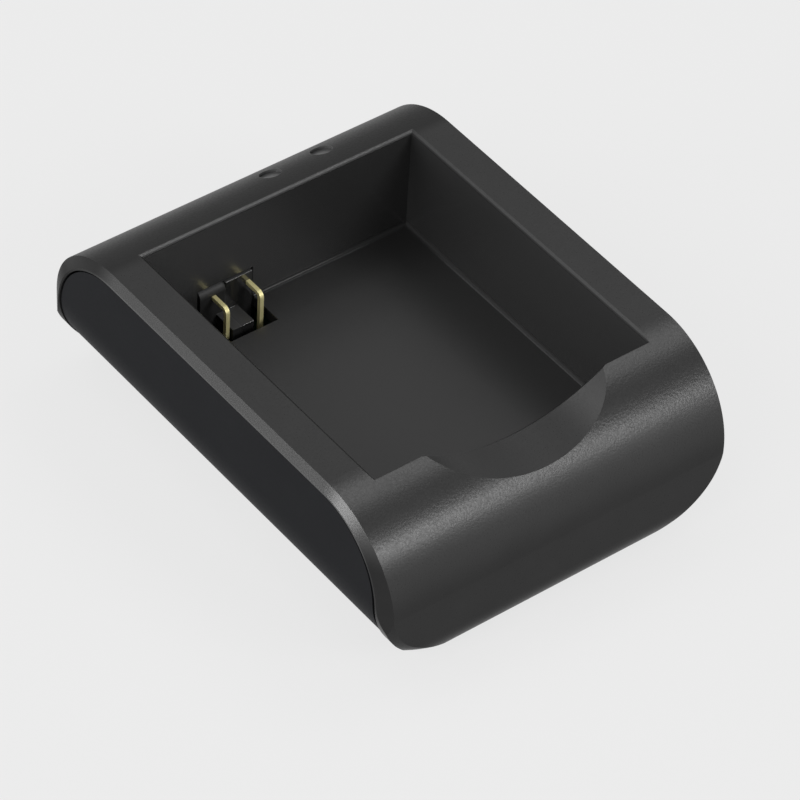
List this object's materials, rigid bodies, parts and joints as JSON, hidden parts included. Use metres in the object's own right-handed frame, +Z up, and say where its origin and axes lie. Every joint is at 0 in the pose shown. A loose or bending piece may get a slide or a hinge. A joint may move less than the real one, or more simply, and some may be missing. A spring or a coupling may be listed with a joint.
{
  "type": "camera battery charger",
  "caption": "Black desk charger for a camera battery: a round-nosed housing around an open battery pocket, with a thumb notch, spring contacts, indicator lights and a USB inlet.",
  "frame": {"origin": "middle of the underside, on the surface that the charger stands on", "axes": "+Z up, +X across the charger, -Y towards the thumb notch, +Y towards the lights and the inlet"},
  "size_m": [0.0388, 0.0512, 0.018],
  "materials": {
    "housing_plastic": "fine spark-eroded texture, satin black",
    "panel_plastic": "smooth satin black",
    "cover_plastic": "fine spark-eroded texture, satin black",
    "screw_steel": "blackened steel",
    "board_laminate": "green solder resist",
    "block_plastic": "glossy black",
    "contact_brass": "bright drawn brass",
    "led_lens": "smoky clear resin",
    "tinned_metal": "tinned",
    "socket_steel": "nickel-plated sheet",
    "socket_plastic": "black insulator",
    "pin_brass": "gilded",
    "chip_plastic": "moulded black",
    "capacitor_ceramic": "tan ceramic"
  },
  "bodies": {
    "root": {"housing": "housing_plastic", "left_side_panel": "panel_plastic", "right_side_panel": "panel_plastic", "base_cover": "cover_plastic", "cover_screws": "screw_steel", "circuit_board": "board_laminate", "contact_block": "block_plastic", "negative_contact": "contact_brass", "positive_contact": "contact_brass", "charging_led": "led_lens", "charging_led_leads": "tinned_metal", "charged_led": "led_lens", "charged_led_leads": "tinned_metal", "usb_socket_shell": "socket_steel", "usb_socket_insert": "socket_plastic", "usb_socket_pins": "pin_brass", "charge_controller": "chip_plastic", "input_diode": "chip_plastic", "input_capacitor": "capacitor_ceramic", "output_capacitor": "capacitor_ceramic", "resistors": "chip_plastic"}
  },
  "joints": []
}
